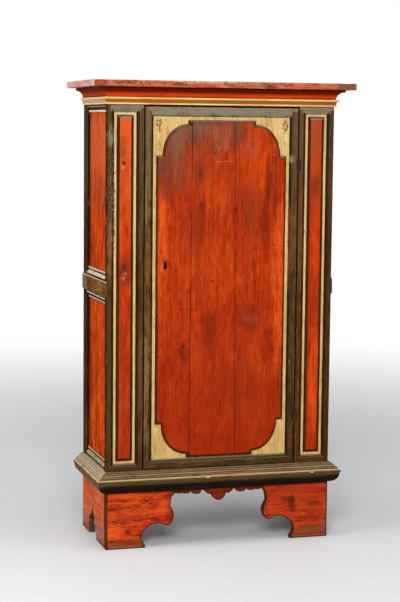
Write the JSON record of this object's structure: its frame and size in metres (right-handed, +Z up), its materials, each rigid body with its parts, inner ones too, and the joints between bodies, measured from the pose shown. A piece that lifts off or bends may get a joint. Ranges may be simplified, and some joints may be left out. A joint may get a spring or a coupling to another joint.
{
  "type": "painted wardrobe",
  "caption": "Tall painted wooden wardrobe with a single framed door, raised shaped panel, moulded cornice and base, and a scrolled bracket plinth.",
  "frame": {"origin": "middle of the footprint of the whole piece, on the floor", "axes": "+X to the right seen from the front, +Y from the door to the back, +Z up"},
  "size_m": [0.99, 0.442, 1.7],
  "materials": {
    "red_paint": "aged satin paint",
    "cream_paint": "aged satin paint",
    "olive_paint": "aged satin paint",
    "salmon_paint": "aged satin paint",
    "maroon_paint": "aged satin paint",
    "gold_paint": "aged satin paint",
    "dark_paint": "aged satin paint",
    "bare_wood": "aged, unpainted",
    "old_iron": "dark, hand forged"
  },
  "bodies": {
    "carcass": {"stile_panel_left": "red_paint", "stile_panel_right": "red_paint", "side_panel_upper_left": "red_paint", "side_panel_upper_right": "red_paint", "side_panel_lower_left": "red_paint", "side_panel_lower_right": "red_paint", "bracket_front": "red_paint", "bracket_left": "red_paint", "bracket_right": "red_paint", "front_stile_left": "cream_paint", "front_stile_right": "cream_paint", "stile_frame_left": "olive_paint", "stile_frame_right": "olive_paint", "front_top_rail": "olive_paint", "front_bottom_rail": "olive_paint", "rear_stile_left": "olive_paint", "rear_stile_right": "olive_paint", "side_top_rail_left": "olive_paint", "side_top_rail_right": "olive_paint", "side_mid_rail_left": "olive_paint", "side_mid_rail_right": "olive_paint", "side_bottom_rail_left": "olive_paint", "side_bottom_rail_right": "olive_paint", "side_belt_left": "olive_paint", "side_belt_right": "olive_paint", "top_board": "salmon_paint", "cornice_front": "maroon_paint", "cornice_left": "maroon_paint", "cornice_right": "maroon_paint", "gilt_moulding_front": "gold_paint", "gilt_moulding_left": "gold_paint", "gilt_moulding_right": "gold_paint", "base_moulding_front": "dark_paint", "base_moulding_left": "dark_paint", "base_moulding_right": "dark_paint", "back_board_left": "bare_wood", "back_board_middle": "bare_wood", "back_board_right": "bare_wood", "bottom_board": "bare_wood", "hat_shelf": "bare_wood", "shelf_cleat_left": "bare_wood", "shelf_cleat_right": "bare_wood", "peg_rail": "bare_wood", "hinge_frame_leaf_lower": "old_iron", "hinge_frame_leaf_upper": "old_iron", "keeper": "old_iron"},
    "door": {"door_panel_left": "red_paint", "door_panel_middle": "red_paint", "door_panel_right": "red_paint", "door_board_left": "cream_paint", "door_board_middle": "cream_paint", "door_board_right": "cream_paint", "door_frame": "olive_paint", "door_batten_lower": "bare_wood", "door_batten_upper": "bare_wood", "hinge_door_leaf_lower": "old_iron", "hinge_door_leaf_upper": "old_iron", "lock_plate": "old_iron", "bolt_spring": "old_iron"},
    "bolt": {"lock_bolt": "old_iron"}
  },
  "joints": [
    {"name": "door_hinge", "type": "hinge", "parent": "carcass", "child": "door", "pos_m": [0.2915, -0.1735, 0.95], "axis": [0, 0, 1], "range_deg": [0, 175]},
    {"name": "bolt_slide", "type": "slide", "parent": "door", "child": "bolt", "axis": [-1, 0, 0], "range_m": [0, 0.018]}
  ]
}
